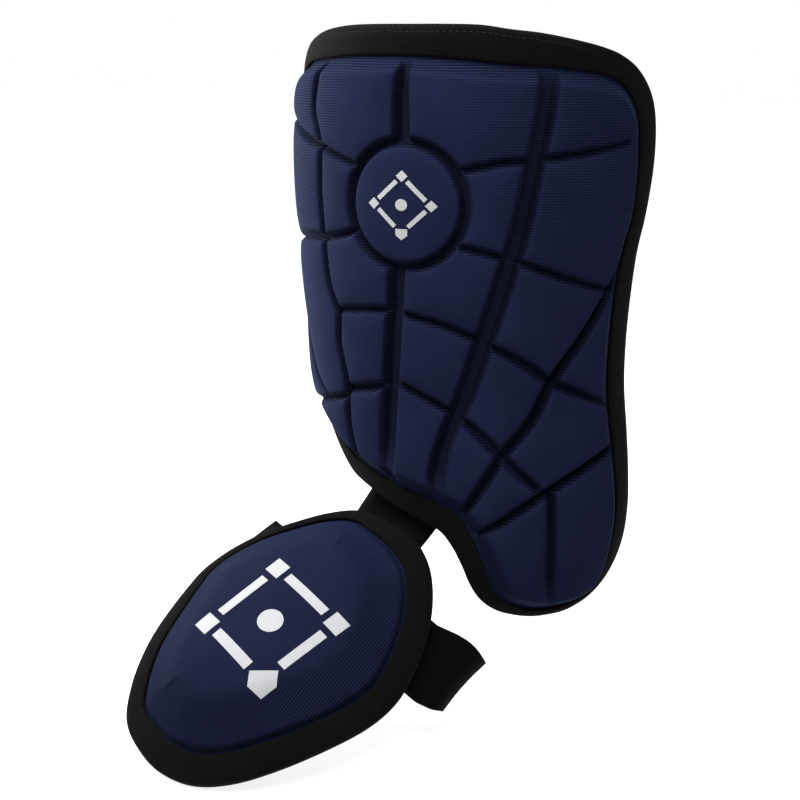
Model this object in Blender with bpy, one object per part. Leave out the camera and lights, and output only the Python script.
"""Batter's leg guard: a moulded shin shell with a cloth binding, a foot pad with its own
binding, the short strap that joins them, a foot strap and two calf straps.

Metres, +Z up. The guard stands as it is worn: the shin's front faces -Y, and the origin is
on the inner face of the shell, on its centre line, at the height where it sits on the shin.
Both pads are drawn in flat coordinates (across, along) and then wrapped onto a curved
base surface, so that outlines, grooves and bindings share one set of functions.
"""
import math
from collections import namedtuple

import bpy
import numpy as np
from mathutils import Euler
from mathutils.geometry import delaunay_2d_cdt

# Shin shell: overall sizes
SHIN_HEIGHT = 0.291
SHIN_HALF_GIRTH = 0.130
CALF_RADIUS = 0.096
SHIN_LEAN = 0.0175
ANKLE_SHIFT = 0.0146
LOBE_TUCK = 0.013

# Shin shell: padding
SHIN_EDGE_THICKNESS = 0.004
SHIN_PUFF_RISE = 0.0070
SHIN_BORDER_SLOPE = 0.008
PUFF_CROWN = 0.0010
PUFF_CROWN_REACH = 0.012
GROOVE_FLOOR = 0.0044
GROOVE_WALL = 0.0028
GROOVE_DEPTH = 0.0058
GROOVE_LEAST_RISE = 0.0005
DISC_WIDTH = 0.0566
DISC_HEIGHT = 0.0604

# Foot pad
FOOT_LENGTH = 0.162
FOOT_WIDTH = 0.140
FOOT_ARCH_RADIUS = 0.150
FOOT_TOE_RADIUS = 0.103
FOOT_TOE_START = 0.020
FOOT_EDGE_THICKNESS = 0.0035
FOOT_PUFF_RISE = 0.0085
FOOT_BORDER_SLOPE = 0.021
FOOT_SLOPE_ANGLE = 30.0
FOOT_YAW_ANGLE = -18.8
FOOT_ROLL_ANGLE = 14.4

# Bindings: one cloth tape folded over each edge
BINDING_WIDTH = 0.013
BINDING_CLOTH = 0.0012
FOOT_BINDING_WIDTH = 0.0135
SEAM_GAP = 0.0005
LAP_GAP = 0.0006

# Straps
STRAP_CLOTH = 0.0018
LINK_WIDTH = 0.044
LINK_LAP = 0.015
LINK_SIDE_STEP = -0.0070
LINK_FORWARD_STEP = -0.0059
LINK_DROP = 0.0122
FOOT_STRAP_WIDTH = 0.035
FOOT_STRAP_DEPTH = 0.048
FOOT_STRAP_LEAN = 0.42
CALF_STRAP_WIDTH = 0.038
CALF_STRAP_LAP = 0.022
CALF_STRAP_BULGE = 0.014
CALF_STRAP_BEND = 0.004
CALF_STRAP_TURN = 0.06

# Fineness of the faceted surfaces
DISC_POINTS = 24
LINK_RINGS = 13
STRAP_RINGS = 44
CALF_STRAP_POINTS = 9
NORMAL_STEP = 0.0002
SHARP_ANGLE = 50.0
EDGE_STEP = 0.0095
GROOVE_STEP = 0.0085
FILL_STEP = 0.014
BACK_STEP = 0.011
CLOSEST_POINTS = 0.0022

# Sections of the shell from its top down: height is a share of SHIN_HEIGHT from the origin,
# radius of CALF_RADIUS, forward of SHIN_LEAN, sideways of ANKLE_SHIFT, tuck of LOBE_TUCK.
Section = namedtuple("Section", "height radius forward sideways tuck")
SHIN_SECTIONS = (
    Section(0.655, 1.000, -0.34, 0.10, 0.00),
    Section(0.446, 0.995, -0.23, 0.11, 0.00),
    Section(0.328, 0.969, -0.16, 0.12, 0.00),
    Section(0.205, 0.922, -0.09, 0.19, 0.00),
    Section(0.072, 0.885, -0.03, 0.32, 0.00),
    Section(0.000, 0.878, 0.00, 0.44, 0.00),
    Section(-0.072, 0.868, 0.10, 0.66, 0.00),
    Section(-0.138, 0.856, 0.21, 0.86, 0.00),
    Section(-0.205, 0.846, 0.31, 1.00, 0.00),
    Section(-0.276, 0.835, 0.43, 0.99, 0.00),
    Section(-0.328, 0.829, 0.51, 0.86, 0.08),
    Section(-0.358, 0.826, 0.57, 0.79, 0.27),
    Section(-0.384, 0.824, 0.62, 0.75, 0.54),
    Section(-0.410, 0.823, 0.66, 0.73, 1.00),
)

# Outline of the shin shell's binding, clockwise from the top: across is a share of
# SHIN_HALF_GIRTH, height of SHIN_HEIGHT, and band, the binding's width in front, of
# BINDING_WIDTH. The band is narrow under the lobe, where the padding bulges over it.
Corner = namedtuple("Corner", "across height band")
SHIN_OUTLINE = (
    Corner(0.00, 0.6285, 1.16),
    Corner(0.13, 0.6285, 1.22),
    Corner(0.26, 0.627, 1.30),
    Corner(0.37, 0.620, 1.27),
    Corner(0.47, 0.615, 1.22),
    Corner(0.58, 0.606, 1.12),
    Corner(0.70, 0.594, 1.02),
    Corner(0.79, 0.581, 0.98),
    Corner(0.875, 0.559, 1.00),
    Corner(0.946, 0.526, 1.06),
    Corner(0.990, 0.488, 1.10),
    Corner(1.010, 0.438, 1.14),
    Corner(1.010, 0.380, 1.10),
    Corner(0.985, 0.310, 0.96),
    Corner(0.948, 0.250, 1.00),
    Corner(0.925, 0.180, 1.12),
    Corner(0.902, 0.080, 1.14),
    Corner(0.890, 0.010, 1.15),
    Corner(0.890, -0.080, 1.10),
    Corner(0.886, -0.190, 0.94),
    Corner(0.868, -0.260, 0.92),
    Corner(0.825, -0.314, 0.72),
    Corner(0.755, -0.354, 0.50),
    Corner(0.655, -0.374, 0.42),
    Corner(0.550, -0.377, 0.40),
    Corner(0.455, -0.374, 0.42),
    Corner(0.350, -0.362, 0.50),
    Corner(0.270, -0.342, 0.62),
    Corner(0.212, -0.312, 0.78),
    Corner(0.165, -0.275, 0.85),
    Corner(0.118, -0.242, 0.95),
    Corner(0.060, -0.218, 1.08),
    Corner(-0.080, -0.195, 0.98),
    Corner(-0.220, -0.173, 0.88),
    Corner(-0.340, -0.154, 0.80),
    Corner(-0.440, -0.124, 0.68),
    Corner(-0.530, -0.096, 0.60),
    Corner(-0.640, -0.077, 0.60),
    Corner(-0.760, -0.048, 0.74),
    Corner(-0.855, 0.010, 1.00),
    Corner(-0.895, 0.100, 1.00),
    Corner(-0.925, 0.200, 1.00),
    Corner(-0.952, 0.290, 1.00),
    Corner(-0.970, 0.370, 1.00),
    Corner(-0.945, 0.432, 1.00),
    Corner(-0.880, 0.486, 0.75),
    Corner(-0.790, 0.530, 0.60),
    Corner(-0.695, 0.567, 0.62),
    Corner(-0.600, 0.594, 0.80),
    Corner(-0.500, 0.611, 1.02),
    Corner(-0.400, 0.621, 1.14),
    Corner(-0.265, 0.627, 1.16),
    Corner(-0.130, 0.6285, 1.16),
)

# Routes of the moulded grooves: across and height as above, width as a share of
# GROOVE_FLOOR and depth as a share of GROOVE_DEPTH.
Bend = namedtuple("Bend", "across height width depth")
SHIN_GROOVES = {
    "left_upright": (
        Bend(-0.380, 0.585, 0.45, 0.5),
        Bend(-0.405, 0.540, 0.45, 1.0),
        Bend(-0.430, 0.485, 0.45, 1.0),
        Bend(-0.388, 0.430, 0.45, 1.0),
        Bend(-0.385, 0.350, 0.45, 1.0),
        Bend(-0.365, 0.265, 0.45, 1.0),
        Bend(-0.340, 0.190, 0.45, 1.0),
        Bend(-0.288, 0.140, 0.45, 1.0),
        Bend(-0.290, 0.085, 0.45, 1.0),
        Bend(-0.260, 0.020, 0.45, 1.0),
        Bend(-0.270, -0.060, 0.45, 0.9),
        Bend(-0.240, -0.125, 0.40, 0.7),
    ),
    "centre_top": (
        Bend(0.015, 0.590, 0.7, 0.4),
        Bend(0.008, 0.565, 0.8, 0.9),
        Bend(0.000, 0.520, 0.9, 1.0),
        Bend(0.002, 0.452, 1.0, 1.0),
    ),
    "centre_low": (
        Bend(-0.013, 0.226, 1.0, 1.0),
        Bend(-0.028, 0.135, 1.0, 1.0),
        Bend(-0.055, 0.025, 1.0, 1.0),
        Bend(-0.090, -0.078, 1.0, 0.9),
        Bend(-0.104, -0.135, 0.8, 0.3),
    ),
    "right_upright": (
        Bend(0.503, 0.585, 0.8, 0.4),
        Bend(0.498, 0.555, 1.0, 1.0),
        Bend(0.485, 0.490, 1.2, 1.0),
        Bend(0.455, 0.410, 1.3, 1.0),
        Bend(0.415, 0.308, 1.3, 1.0),
        Bend(0.360, 0.220, 1.3, 1.0),
        Bend(0.302, 0.137, 1.3, 1.0),
        Bend(0.220, 0.028, 1.2, 1.0),
        Bend(0.136, -0.056, 1.1, 1.0),
        Bend(0.092, -0.120, 1.0, 0.9),
        Bend(0.092, -0.152, 0.8, 0.4),
    ),
    "right_sweep": (
        Bend(0.815, 0.246, 0.3, 0.5),
        Bend(0.735, 0.185, 0.6, 1.0),
        Bend(0.635, 0.117, 0.8, 1.1),
        Bend(0.510, 0.042, 0.9, 1.1),
        Bend(0.435, -0.022, 0.9, 1.1),
        Bend(0.330, -0.078, 0.9, 1.1),
        Bend(0.228, -0.146, 0.8, 1.0),
        Bend(0.150, -0.198, 0.5, 0.6),
    ),
    "ankle_line": (
        Bend(0.745, -0.086, 0.5, 0.9),
        Bend(0.560, -0.125, 0.6, 1.0),
        Bend(0.430, -0.156, 0.6, 1.0),
        Bend(0.310, -0.192, 0.6, 0.9),
        Bend(0.215, -0.219, 0.4, 0.6),
    ),
    "lobe_line": (
        Bend(0.478, -0.155, 0.6, 0.9),
        Bend(0.476, -0.220, 0.7, 0.9),
        Bend(0.485, -0.290, 0.7, 0.8),
        Bend(0.510, -0.330, 0.5, 0.4),
    ),
    "left_cross_top": (
        Bend(-0.920, 0.475, 0.5, 0.4),
        Bend(-0.730, 0.463, 0.7, 0.5),
        Bend(-0.560, 0.441, 0.7, 0.7),
        Bend(-0.410, 0.427, 0.7, 0.8),
    ),
    "left_cross_middle": (
        Bend(-0.840, 0.230, 0.5, 0.4),
        Bend(-0.690, 0.252, 0.7, 0.5),
        Bend(-0.520, 0.264, 0.7, 0.7),
        Bend(-0.365, 0.268, 0.7, 0.8),
    ),
    "left_sweep": (
        Bend(-0.815, 0.225, 0.4, 0.6),
        Bend(-0.700, 0.130, 0.7, 0.8),
        Bend(-0.600, 0.070, 0.7, 0.7),
        Bend(-0.500, 0.010, 0.6, 0.6),
        Bend(-0.410, -0.018, 0.5, 0.5),
    ),
    "left_cross_low": (
        Bend(-0.620, -0.044, 0.4, 0.4),
        Bend(-0.500, -0.036, 0.5, 0.5),
        Bend(-0.390, -0.022, 0.5, 0.7),
        Bend(-0.270, -0.006, 0.6, 0.8),
    ),
    "second_cross_top": (
        Bend(-0.400, 0.428, 0.6, 0.7),
        Bend(-0.295, 0.412, 0.6, 0.7),
        Bend(-0.200, 0.400, 0.6, 0.7),
    ),
    "second_cross_middle": (
        Bend(-0.350, 0.268, 0.6, 0.7),
        Bend(-0.235, 0.280, 0.6, 0.7),
        Bend(-0.185, 0.290, 0.6, 0.7),
    ),
    "second_cross_low": (
        Bend(-0.292, 0.145, 0.6, 0.7),
        Bend(-0.160, 0.155, 0.6, 0.7),
        Bend(-0.030, 0.160, 0.6, 0.7),
    ),
    "second_cross_bottom": (
        Bend(-0.258, 0.008, 0.7, 0.8),
        Bend(-0.163, 0.018, 0.7, 0.8),
        Bend(-0.060, 0.030, 0.7, 0.7),
    ),
    "right_cross_top": (
        Bend(0.225, 0.397, 0.6, 0.7),
        Bend(0.355, 0.410, 0.6, 0.7),
        Bend(0.480, 0.415, 0.6, 0.7),
        Bend(0.650, 0.426, 0.6, 0.7),
        Bend(0.800, 0.438, 0.4, 0.5),
    ),
    "right_cross_middle": (
        Bend(0.218, 0.271, 0.6, 0.7),
        Bend(0.350, 0.256, 0.6, 0.7),
        Bend(0.470, 0.236, 0.6, 0.7),
        Bend(0.620, 0.210, 0.6, 0.7),
        Bend(0.735, 0.194, 0.4, 0.6),
    ),
    "right_cross_low": (
        Bend(0.013, 0.155, 0.6, 0.7),
        Bend(0.155, 0.140, 0.6, 0.7),
        Bend(0.290, 0.112, 0.6, 0.8),
        Bend(0.420, 0.075, 0.7, 0.8),
        Bend(0.490, 0.048, 0.7, 0.8),
        Bend(0.585, 0.023, 0.7, 0.8),
        Bend(0.745, -0.014, 0.5, 0.5),
    ),
    "right_cross_bottom": (
        Bend(-0.025, 0.037, 0.6, 0.7),
        Bend(0.080, 0.013, 0.6, 0.7),
        Bend(0.180, -0.015, 0.6, 0.8),
        Bend(0.260, -0.052, 0.7, 0.8),
        Bend(0.350, -0.103, 0.7, 0.8),
        Bend(0.430, -0.140, 0.6, 0.8),
    ),
}
DISC_CENTRE = Corner(0.013, 0.338, 0.0)
DISC_RING = Bend(0.0, 0.0, 0.7, 0.9)

# Outline of the foot pad's binding, clockwise from its ankle end: across is a share of half
# of FOOT_WIDTH, height of half of FOOT_LENGTH, and band of FOOT_BINDING_WIDTH.
FOOT_OUTLINE = (
    Corner(0.09, 0.990, 0.85),
    Corner(0.34, 0.975, 1.0),
    Corner(0.55, 0.885, 1.0),
    Corner(0.73, 0.720, 1.0),
    Corner(0.87, 0.510, 1.0),
    Corner(0.965, 0.270, 1.0),
    Corner(1.00, 0.070, 1.0),
    Corner(0.965, -0.140, 1.0),
    Corner(0.86, -0.375, 1.0),
    Corner(0.69, -0.620, 1.0),
    Corner(0.47, -0.835, 1.0),
    Corner(0.22, -0.975, 1.0),
    Corner(-0.05, -1.025, 1.0),
    Corner(-0.30, -1.000, 1.0),
    Corner(-0.54, -0.915, 0.9),
    Corner(-0.695, -0.740, 0.85),
    Corner(-0.815, -0.515, 0.8),
    Corner(-0.905, -0.270, 0.8),
    Corner(-0.968, -0.060, 0.75),
    Corner(-0.995, 0.120, 0.68),
    Corner(-0.925, 0.310, 0.58),
    Corner(-0.775, 0.500, 0.50),
    Corner(-0.56, 0.690, 0.46),
    Corner(-0.36, 0.850, 0.48),
    Corner(-0.16, 0.960, 0.62),
)

# The foot strap's run, from the pad's right side under the foot to its left side. The across
# columns are shares of half of FOOT_WIDTH and the along columns of FOOT_STRAP_WIDTH, for its
# toe edge and its ankle edge, and drop is a share of FOOT_STRAP_DEPTH below the pad's back.
Run = namedtuple("Run", "across_toe along_toe across_ankle along_ankle drop")
FOOT_STRAP_RUN = (
    Run(0.70, -0.500, 0.60, 0.490, 0.00),
    Run(0.86, -0.510, 0.78, 0.500, 0.00),
    Run(0.98, -0.515, 0.90, 0.560, 0.00),
    Run(1.08, -0.510, 1.00, 0.620, 0.00),
    Run(1.15, -0.475, 1.09, 0.655, 0.01),
    Run(1.220, -0.430, 1.18, 0.650, 0.04),
    Run(1.262, -0.385, 1.255, 0.615, 0.10),
    Run(1.280, -0.370, 1.298, 0.590, 0.19),
    Run(1.235, -0.390, 1.265, 0.545, 0.30),
    Run(1.04, -0.450, 1.04, 0.500, 0.46),
    Run(0.70, -0.500, 0.70, 0.500, 0.72),
    Run(0.35, -0.500, 0.35, 0.500, 0.93),
    Run(0.00, -0.500, 0.00, 0.500, 1.00),
    Run(-0.35, -0.500, -0.32, 0.500, 0.90),
    Run(-0.68, -0.500, -0.60, 0.510, 0.66),
    Run(-0.93, -0.480, -0.80, 0.560, 0.40),
    Run(-1.11, -0.440, -0.93, 0.650, 0.20),
    Run(-1.17, -0.420, -0.968, 0.700, 0.06),
    Run(-1.08, -0.440, -0.88, 0.665, 0.00),
    Run(-0.93, -0.470, -0.727, 0.590, 0.00),
    Run(-0.74, -0.500, -0.55, 0.500, 0.00),
)
FOOT_STRAP_PLACE = 0.41

# Heights of the two calf straps as shares of SHIN_HEIGHT
CALF_STRAPS = {"calf_strap_upper": 0.36, "calf_strap_lower": 0.09}
# Place of the link on the shell's lower edge, as a share of SHIN_HALF_GIRTH, and on the
# foot pad's ankle end, as a share of half of FOOT_WIDTH
LINK_ON_SHIN = -0.098
LINK_ON_FOOT = 0.055

# Finishes: colour, roughness
NAVY_FABRIC = ("navy_fabric", (0.020, 0.026, 0.080, 1.0), 0.75)
BLACK_TWILL = ("black_twill", (0.006, 0.006, 0.007, 1.0), 0.80)
BLACK_ELASTIC = ("black_elastic", (0.006, 0.006, 0.006, 1.0), 0.70)


def column(table, name):
    """One column of a table as an array."""
    return np.array([getattr(row, name) for row in table], dtype=float)


def smooth_read(table, key, name, at):
    """Read a column of a table at any value of its key column, with smooth slopes."""
    order = np.argsort(column(table, key))
    x = column(table, key)[order]
    y = column(table, name)[order]
    slope = np.gradient(y, x)
    at = np.clip(at, x[0], x[-1])
    i = np.clip(np.searchsorted(x, at) - 1, 0, len(x) - 2)
    step = x[i + 1] - x[i]
    t = (at - x[i]) / step
    start = (1 + 2 * t) * (1 - t) ** 2 * y[i] + t * (1 - t) ** 2 * step * slope[i]
    end = t * t * (3 - 2 * t) * y[i + 1] + t * t * (t - 1) * step * slope[i + 1]
    return start + end


def soft_step(x):
    """Rise smoothly from 0 to 1 as x goes from 0 to 1."""
    x = np.clip(x, 0.0, 1.0)
    return x * x * (3 - 2 * x)


def spline(points, step, closed):
    """Points about one step apart along a smooth curve through the given rows."""
    p = np.asarray(points, dtype=float)
    if closed:
        p = np.vstack([p[-1], p, p[0], p[1]])
    else:
        p = np.vstack([2 * p[0] - p[1], p, 2 * p[-1] - p[-2]])
    fine = []
    for a, b, c, d in zip(p[:-3], p[1:-2], p[2:-1], p[3:]):
        for t in np.linspace(0.0, 1.0, 12, endpoint=False):
            tangent = (c - a) * t + (2 * a - 5 * b + 4 * c - d) * t * t + (3 * b - 3 * c + d - a) * t ** 3
            fine.append(b + 0.5 * tangent)
    fine.append(p[-2])
    fine = np.array(fine)
    run = np.concatenate([[0.0], np.cumsum(np.linalg.norm(np.diff(fine[:, :2], axis=0), axis=1))])
    count = max(2, int(round(run[-1] / step)))
    at = np.linspace(0.0, run[-1], count + 1)
    if closed:
        at = at[:-1]
    return np.stack([np.interp(at, run, fine[:, k]) for k in range(fine.shape[1])], axis=1)


def nearest_on_path(across, along, path, closed):
    """Distance from each point to a path, and the path's other columns read at that place."""
    start = path if closed else path[:-1]
    end = np.roll(path, -1, axis=0) if closed else path[1:]
    best = np.full(np.shape(across), np.inf)
    extra = [np.zeros(np.shape(across)) for _ in range(path.shape[1] - 2)]
    for a, b in zip(start, end):
        run = b[:2] - a[:2]
        t = ((across - a[0]) * run[0] + (along - a[1]) * run[1]) / max(run @ run, 1e-12)
        t = np.clip(t, 0.0, 1.0)
        d = np.hypot(across - a[0] - t * run[0], along - a[1] - t * run[1])
        closer = d < best
        best = np.where(closer, d, best)
        for k, values in enumerate(extra):
            here = a[2 + k] + t * (b[2 + k] - a[2 + k])
            extra[k] = np.where(closer, here, values)
    return best, extra


def inside(across, along, loop):
    """True for points inside a closed loop."""
    result = np.zeros(np.shape(across), dtype=bool)
    for a, b in zip(loop, np.roll(loop, -1, axis=0)):
        crosses = (a[1] > along) != (b[1] > along)
        at = a[0] + (along - a[1]) * (b[0] - a[0]) / (b[1] - a[1] if b[1] != a[1] else 1e-12)
        result ^= crosses & (across < at)
    return result


def inward(loop):
    """Unit directions into a clockwise loop at each of its points."""
    run = np.roll(loop, -1, axis=0)[:, :2] - np.roll(loop, 1, axis=0)[:, :2]
    run /= np.linalg.norm(run, axis=1, keepdims=True)
    return np.stack([run[:, 1], -run[:, 0]], axis=1)


class Pad:
    """A moulded pad: an outline, grooves and a base surface in flat coordinates."""

    def __init__(self, outline, grooves, edge, rise, slope):
        self.outline = outline
        self.grooves = grooves
        self.edge = edge
        self.rise = rise
        self.slope = slope

    def height(self, across, along):
        """Height of the padded face above the back."""
        border, (band,) = nearest_on_path(across, along, self.outline, True)
        border = np.where(inside(across, along, self.outline), border, 0.0)
        reach = border - band - SEAM_GAP
        top = self.edge + self.rise * soft_step(reach / self.slope)
        room = np.maximum(reach - self.slope, 0.0)
        for route, closed in self.grooves:
            d, (width, depth) = nearest_on_path(across, along, route, closed)
            wall = (d - width * GROOVE_FLOOR / 2) / GROOVE_WALL
            floor = np.maximum(top - depth * GROOVE_DEPTH, self.edge + GROOVE_LEAST_RISE)
            top = np.minimum(top, np.minimum(top, floor) + (top - np.minimum(top, floor)) * soft_step(wall))
            room = np.minimum(room, np.maximum(d - width * GROOVE_FLOOR / 2 - GROOVE_WALL, 0.0))
        return top + PUFF_CROWN * (1 - np.exp(-room / PUFF_CROWN_REACH))

    def normal(self, across, along):
        """Outward unit normal of the base surface."""
        e = NORMAL_STEP
        side = self.base(across + e, along) - self.base(across - e, along)
        up = self.base(across, along + e) - self.base(across, along - e)
        n = np.cross(side, up)
        return n / np.linalg.norm(n, axis=-1, keepdims=True)

    def point(self, across, along, out):
        """A point at the given height above the base surface."""
        across = np.asarray(across, dtype=float)
        along = np.asarray(along, dtype=float)
        out = np.broadcast_to(np.asarray(out, dtype=float), across.shape)
        return self.base(across, along) + out[..., None] * self.normal(across, along)


class ShinPad(Pad):
    """The shin shell, wrapped round a calf."""

    def base(self, across, along):
        share = along / SHIN_HEIGHT
        radius = CALF_RADIUS * smooth_read(SHIN_SECTIONS, "height", "radius", share)
        forward = SHIN_LEAN * smooth_read(SHIN_SECTIONS, "height", "forward", share)
        sideways = ANKLE_SHIFT * smooth_read(SHIN_SECTIONS, "height", "sideways", share)
        tuck = LOBE_TUCK * smooth_read(SHIN_SECTIONS, "height", "tuck", share)
        angle = across / radius
        reach = radius - tuck
        x = sideways + reach * np.sin(angle)
        y = radius - forward - reach * np.cos(angle)
        return np.stack([x, y, along + 0 * across], axis=-1)


class FootPad(Pad):
    """The foot pad, arched over the instep and curled down at the toe."""

    def place(self, origin):
        turn = Euler((math.radians(FOOT_SLOPE_ANGLE), 0.0, math.radians(FOOT_YAW_ANGLE))).to_matrix()
        roll = Euler((0.0, math.radians(FOOT_ROLL_ANGLE), 0.0)).to_matrix()
        axes = np.array(turn @ roll)
        self.side = axes[:, 0]
        self.ahead = axes[:, 1]
        self.up = axes[:, 2]
        self.origin = origin

    def base(self, across, along):
        angle = across / FOOT_ARCH_RADIUS
        toe = np.clip(-along - FOOT_TOE_START, 0.0, None)
        drop = FOOT_ARCH_RADIUS * (1 - np.cos(angle)) + toe * toe / (2 * FOOT_TOE_RADIUS)
        x = FOOT_ARCH_RADIUS * np.sin(angle)
        return (self.origin + x[..., None] * self.side + (along + 0 * across)[..., None] * self.ahead
                - drop[..., None] * self.up)


def scaled(table, names, sizes):
    """A table's columns as lengths: each named column times its size."""
    return np.stack([column(table, name) * size for name, size in zip(names, sizes)], axis=1)


def pad_outline(table, sizes):
    """A pad's own edge, inside its binding's outer edge, with the binding's width from there."""
    outline = spline(scaled(table, ("across", "height", "band"), sizes), EDGE_STEP, True)
    wrap = SEAM_GAP + BINDING_CLOTH
    outline[:, :2] += inward(outline) * wrap
    outline[:, 2] -= wrap
    return outline


def shin_pad_shape():
    outline = pad_outline(SHIN_OUTLINE, (SHIN_HALF_GIRTH, SHIN_HEIGHT, BINDING_WIDTH))
    grooves = []
    for rows in SHIN_GROOVES.values():
        route = scaled(rows, ("across", "height", "width", "depth"), (SHIN_HALF_GIRTH, SHIN_HEIGHT, 1.0, 1.0))
        grooves.append((spline(route, GROOVE_STEP, False), False))
    turns = np.linspace(0.0, 2 * math.pi, DISC_POINTS, endpoint=False)
    ring = np.stack([DISC_CENTRE.across * SHIN_HALF_GIRTH + DISC_WIDTH / 2 * np.sin(turns),
                     DISC_CENTRE.height * SHIN_HEIGHT + DISC_HEIGHT / 2 * np.cos(turns),
                     np.full(DISC_POINTS, DISC_RING.width), np.full(DISC_POINTS, DISC_RING.depth)], axis=1)
    grooves.append((ring, True))
    return ShinPad(outline, grooves, SHIN_EDGE_THICKNESS, SHIN_PUFF_RISE, SHIN_BORDER_SLOPE)


def link_start(shin):
    """The middle of the link where it leaves the shell: flat place, and inward direction."""
    loop = shin.outline
    across = LINK_ON_SHIN * SHIN_HALF_GIRTH
    low = (loop[:, 1] < 0) & (np.abs(loop[:, 0] - across) < LINK_WIDTH)
    row = np.hstack([loop[low], inward(loop)[low]])
    row = row[np.argsort(row[:, 0])]
    read = [np.interp(across, row[:, 0], row[:, k]) for k in (1, 3, 4)]
    return np.array([across, read[0]]), np.array(read[1:])


def foot_pad_shape(shin):
    outline = pad_outline(FOOT_OUTLINE, (FOOT_WIDTH / 2, FOOT_LENGTH / 2, FOOT_BINDING_WIDTH))
    foot = FootPad(outline, [], FOOT_EDGE_THICKNESS, FOOT_PUFF_RISE, FOOT_BORDER_SLOPE)
    edge, _ = link_start(shin)
    start = shin.point(edge[0], edge[1], 0.0)
    foot.place(np.zeros(3))
    end = foot.point(LINK_ON_FOOT * FOOT_WIDTH / 2, outline[:, 1].max(), 0.0)
    foot.place(start + np.array([LINK_SIDE_STEP, LINK_FORWARD_STEP, -LINK_DROP]) - end)
    return foot


def thin_out(points, gap):
    """Drop each point that lies closer than the gap to one that comes before it."""
    kept = np.empty((0, 2))
    for p in points:
        if len(kept) == 0 or np.min(np.hypot(kept[:, 0] - p[0], kept[:, 1] - p[1])) >= gap:
            kept = np.vstack([kept, p])
    return kept


def side_rows(route, offset):
    """The route's points moved sideways by an offset, to both sides."""
    run = np.gradient(route[:, :2], axis=0)
    run /= np.linalg.norm(run, axis=1, keepdims=True)
    across = np.stack([-run[:, 1], run[:, 0]], axis=1) * np.reshape(offset, (-1, 1))
    return np.vstack([route[:, :2] + across, route[:, :2] - across])


def flat_grid(loop, step, gap):
    """Staggered grid points inside a loop, at least a gap away from it."""
    low = loop[:, :2].min(axis=0)
    high = loop[:, :2].max(axis=0)
    points = []
    for row, along in enumerate(np.arange(low[1] + step / 2, high[1], step)):
        for across in np.arange(low[0] + step * (row % 2) / 2, high[0], step):
            points.append((across, along))
    points = np.array(points)
    d, _ = nearest_on_path(points[:, 0], points[:, 1], loop[:, :2], True)
    return points[inside(points[:, 0], points[:, 1], loop) & (d > gap)]


def under_tape(pad):
    """Rows of points under the binding's legs, where its own faces bend."""
    band = pad.outline[:, 2:3] + SEAM_GAP
    into = inward(pad.outline)
    rows = []
    for share in (1.0, 1 / 3):
        row = pad.outline[:, :2] + into * band * share
        following = np.roll(row, -1, axis=0)
        wide = np.linalg.norm(following - row, axis=1) > EDGE_STEP
        rows += [row, ((row + following) / 2)[wide]]
    return np.vstack(rows)


def front_points(pad):
    """Points that catch the padded face's shape: grooves, border slope and a loose fill."""
    rows = []
    for wall in (0.0, GROOVE_WALL):
        for route, _ in pad.grooves:
            rows.append(side_rows(route, route[:, 2] * GROOVE_FLOOR / 2 + wall))
    points = np.vstack(rows) if rows else np.empty((0, 2))
    loop = pad.outline
    band = loop[:, 2:3] + SEAM_GAP
    into = inward(loop)
    if len(points):
        d, (width,) = nearest_on_path(points[:, 0], points[:, 1], loop, True)
        room = d - width
        points = points[inside(points[:, 0], points[:, 1], loop) & (room > CLOSEST_POINTS)]
    slope = [loop[:, :2] + into * (band + pad.slope * share) for share in (0.5, 1.0)]
    points = thin_out(np.vstack([under_tape(pad), points] + slope), CLOSEST_POINTS)
    return np.vstack([points, loose_fill(loop, points, FILL_STEP)])


def back_points(pad):
    """Points of the plain back: rows under the tape and a loose fill."""
    points = thin_out(under_tape(pad), CLOSEST_POINTS)
    return np.vstack([points, loose_fill(pad.outline, points, BACK_STEP)])


def loose_fill(loop, points, step):
    """Grid points inside a loop that lie well away from the points there already."""
    fill = flat_grid(loop, step, CLOSEST_POINTS)
    near = np.array([np.min(np.hypot(points[:, 0] - p[0], points[:, 1] - p[1])) for p in fill])
    return fill[near > step * 0.55]


def triangulate(loop, points):
    """Triangles that fill a loop through the points: flat places and corner indices."""
    flat = [tuple(p) for p in loop[:, :2]] + [tuple(p) for p in points]
    result = delaunay_2d_cdt(flat, [], [list(range(len(loop)))], 1, 1e-7)
    return np.array([tuple(v) for v in result[0]]), [tuple(face) for face in result[2]]


def make_object(name, verts, faces, finish):
    """A mesh object with its own material."""
    mesh = bpy.data.meshes.new(name)
    mesh.from_pydata([tuple(map(float, v)) for v in verts], [], [tuple(map(int, f)) for f in faces])
    mesh.validate()
    mesh.update()
    mesh.shade_smooth()
    mesh.set_sharp_from_angle(angle=math.radians(SHARP_ANGLE))
    label, colour, roughness = finish
    material = bpy.data.materials.get(label) or bpy.data.materials.new(label)
    material.use_nodes = True
    shader = material.node_tree.nodes["Principled BSDF"]
    shader.inputs["Base Color"].default_value = colour
    shader.inputs["Roughness"].default_value = roughness
    shader.inputs["Metallic"].default_value = 0.0
    mesh.materials.append(material)
    thing = bpy.data.objects.new(name, mesh)
    bpy.context.scene.collection.objects.link(thing)
    return thing


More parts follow.
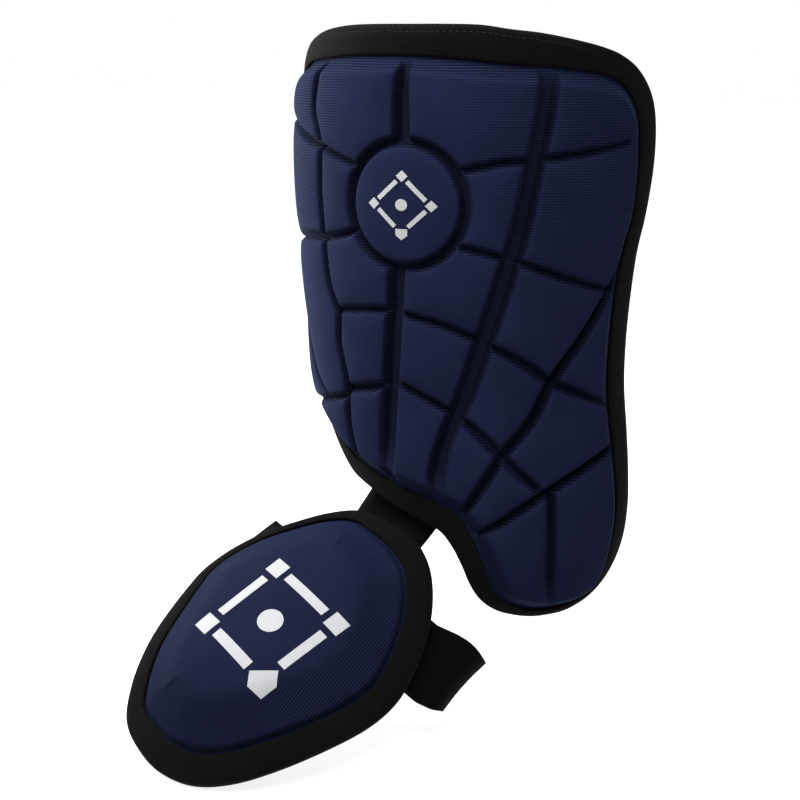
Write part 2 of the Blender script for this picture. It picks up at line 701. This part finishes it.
def make_pad(name, pad):
    """The pad's solid: the padded face, the plain back and the edge between them."""
    loop = pad.outline
    flat, faces = triangulate(loop, front_points(pad))
    count = len(loop)
    front = pad.point(flat[:, 0], flat[:, 1], pad.height(flat[:, 0], flat[:, 1]))
    back_flat, back_faces = triangulate(loop, back_points(pad))
    back = pad.point(back_flat[:, 0], back_flat[:, 1], 0.0)
    verts = np.vstack([front, back])
    lift = len(front)
    solid = [oriented(face, flat) for face in faces]
    solid += [tuple(lift + i for i in reversed(oriented(face, back_flat))) for face in back_faces]
    for i in range(count):
        j = (i + 1) % count
        solid.append((i, j, lift + j, lift + i))
    return make_object(name, verts, solid, NAVY_FABRIC)


def oriented(face, flat):
    """A face's corners in the order that makes it face out of the padded side."""
    a, b, c = (flat[i] for i in face[:3])
    turn = (b[0] - a[0]) * (c[1] - a[1]) - (b[1] - a[1]) * (c[0] - a[0])
    return tuple(face) if turn > 0 else tuple(reversed(face))


def make_binding(name, pad):
    """The cloth tape folded over the pad's edge: a U section swept round the outline."""
    loop = pad.outline
    into = inward(loop)
    front = pad.edge + SEAM_GAP
    cloth = BINDING_CLOTH
    rings = []
    for place, direction in zip(loop, into):
        band = place[2] - SEAM_GAP
        section = ((band, front), (band, front + cloth), (band / 3, front + cloth), (0.0, front + cloth * 0.7),
                   (-SEAM_GAP - cloth, pad.edge / 2), (0.0, -SEAM_GAP - cloth * 0.7),
                   (band / 3, -SEAM_GAP - cloth), (band, -SEAM_GAP - cloth), (band, -SEAM_GAP),
                   (-SEAM_GAP, -SEAM_GAP), (-SEAM_GAP, front))
        inset = np.array([row[0] for row in section])
        out = np.array([row[1] for row in section])
        rings.append(pad.point(place[0] + direction[0] * inset, place[1] + direction[1] * inset, out))
    count = len(rings)
    size = len(rings[0])
    faces = []
    for i in range(count):
        j = (i + 1) % count
        for k in range(size):
            m = (k + 1) % size
            faces.append((i * size + k, j * size + k, j * size + m, i * size + m))
    return make_object(name, np.vstack(rings), faces, BLACK_TWILL)


def make_band(name, low_rail, high_rail, cloth, finish):
    """A flat strap between two rails of points, with its ends closed."""
    middle = (low_rail + high_rail) / 2
    run = np.gradient(middle, axis=0)
    width = high_rail - low_rail
    out = np.cross(run, width)
    out *= cloth / 2 / np.linalg.norm(out, axis=1, keepdims=True)
    rings = np.stack([low_rail + out, high_rail + out, high_rail - out, low_rail - out], axis=1)
    count = len(rings)
    faces = []
    for i in range(count - 1):
        for k in range(4):
            m = (k + 1) % 4
            faces.append((i * 4 + k, (i + 1) * 4 + k, (i + 1) * 4 + m, i * 4 + m))
    last = (count - 1) * 4
    faces.append((0, 1, 2, 3))
    faces.append((last + 3, last + 2, last + 1, last))
    return make_object(name, rings.reshape(-1, 3), faces, finish)


def under_binding():
    """Depth of a strap's middle below a pad's back, clear of the binding's back leg."""
    return SEAM_GAP + BINDING_CLOTH + LAP_GAP + STRAP_CLOTH / 2


def make_link(shin, foot):
    """The short strap from behind the shell's lower edge to under the foot pad's end."""
    edge, into = link_start(shin)
    along_edge = np.array([into[1], -into[0]])
    depth = under_binding()
    rails = []
    for side in (-1.0, 1.0):
        start = edge + side * along_edge * LINK_WIDTH / 2
        foot_across = LINK_ON_FOOT * FOOT_WIDTH / 2 + side * LINK_WIDTH / 2
        foot_end = foot.outline[:, 1].max()
        points = []
        for share in (1.0, 0.5, 0.0):
            flat = start + into * LINK_LAP * share
            points.append(shin.point(flat[0], flat[1], -depth))
        for share in (0.0, 0.5, 1.0):
            points.append(foot.point(foot_across, foot_end - LINK_LAP * share, -depth))
        rails.append(spline_3d(points, LINK_RINGS))
    return make_band("ankle_link", rails[0], rails[1], STRAP_CLOTH, BLACK_ELASTIC)


def spline_3d(points, count):
    """A smooth curve through points in space, as evenly spaced points."""
    p = np.array(points)
    p = np.vstack([2 * p[0] - p[1], p, 2 * p[-1] - p[-2]])
    fine = []
    for a, b, c, d in zip(p[:-3], p[1:-2], p[2:-1], p[3:]):
        for t in np.linspace(0.0, 1.0, 10, endpoint=False):
            tangent = (c - a) * t + (2 * a - 5 * b + 4 * c - d) * t * t + (3 * b - 3 * c + d - a) * t ** 3
            fine.append(b + 0.5 * tangent)
    fine.append(p[-2])
    fine = np.array(fine)
    run = np.concatenate([[0.0], np.cumsum(np.linalg.norm(np.diff(fine, axis=0), axis=1))])
    at = np.linspace(0.0, run[-1], count)
    return np.stack([np.interp(at, run, fine[:, k]) for k in range(3)], axis=1)


def make_foot_strap(foot):
    """The elastic that is sewn under both sides of the foot pad and passes under the shoe."""
    depth = under_binding()
    middle = FOOT_STRAP_PLACE * FOOT_LENGTH / 2
    rails = []
    for edge in ("toe", "ankle"):
        points = []
        for row in FOOT_STRAP_RUN:
            across = getattr(row, "across_" + edge) * FOOT_WIDTH / 2
            drop = row.drop * FOOT_STRAP_DEPTH
            along = middle + getattr(row, "along_" + edge) * FOOT_STRAP_WIDTH + FOOT_STRAP_LEAN * drop
            points.append(foot.point(across, along, -depth - drop))
        rails.append(spline_3d(points, STRAP_RINGS))
    return make_band("foot_strap", rails[0], rails[1], STRAP_CLOTH, BLACK_ELASTIC)


def make_calf_strap(name, shin, share):
    """A plain elastic across the back of the calf, its ends sewn inside the shell's sides."""
    depth = LAP_GAP + STRAP_CLOTH / 2
    loop = shin.outline
    near = np.abs(loop[:, 1] - share * SHIN_HEIGHT) < CALF_STRAP_WIDTH / 2 + EDGE_STEP
    inset = BINDING_WIDTH + STRAP_CLOTH
    right = loop[near & (loop[:, 0] > 0), 0].min() - inset
    left = loop[near & (loop[:, 0] < 0), 0].max() + inset
    rails = []
    for side in (-0.5, 0.5):
        along = share * SHIN_HEIGHT + side * CALF_STRAP_WIDTH
        points = []
        for back in (1.0, 0.5):
            points.append(shin.point(right - CALF_STRAP_LAP * back, along, -depth))
        start = shin.point(right, along, -depth - STRAP_CLOTH)
        end = shin.point(left, along, -depth - STRAP_CLOTH)
        points.append(start)
        behind = max(start[1], end[1]) + CALF_STRAP_BEND
        for t in np.linspace(CALF_STRAP_TURN, 1 - CALF_STRAP_TURN, CALF_STRAP_POINTS):
            x = start[0] + (end[0] - start[0]) * t
            y = behind + CALF_STRAP_BULGE * math.sin(math.pi * t)
            points.append(np.array([x, y, along]))
        points.append(end)
        for back in (0.5, 1.0):
            points.append(shin.point(left + CALF_STRAP_LAP * back, along, -depth))
        rails.append(spline_3d(points, STRAP_RINGS))
    return make_band(name, rails[0], rails[1], STRAP_CLOTH, BLACK_ELASTIC)


def main():
    for thing in list(bpy.data.objects):
        bpy.data.objects.remove(thing, do_unlink=True)
    shin = shin_pad_shape()
    foot = foot_pad_shape(shin)
    make_pad("shin_pad", shin)
    make_binding("shin_binding", shin)
    make_pad("foot_pad", foot)
    make_binding("foot_binding", foot)
    make_link(shin, foot)
    make_foot_strap(foot)
    for name, share in CALF_STRAPS.items():
        make_calf_strap(name, shin, share)


main()
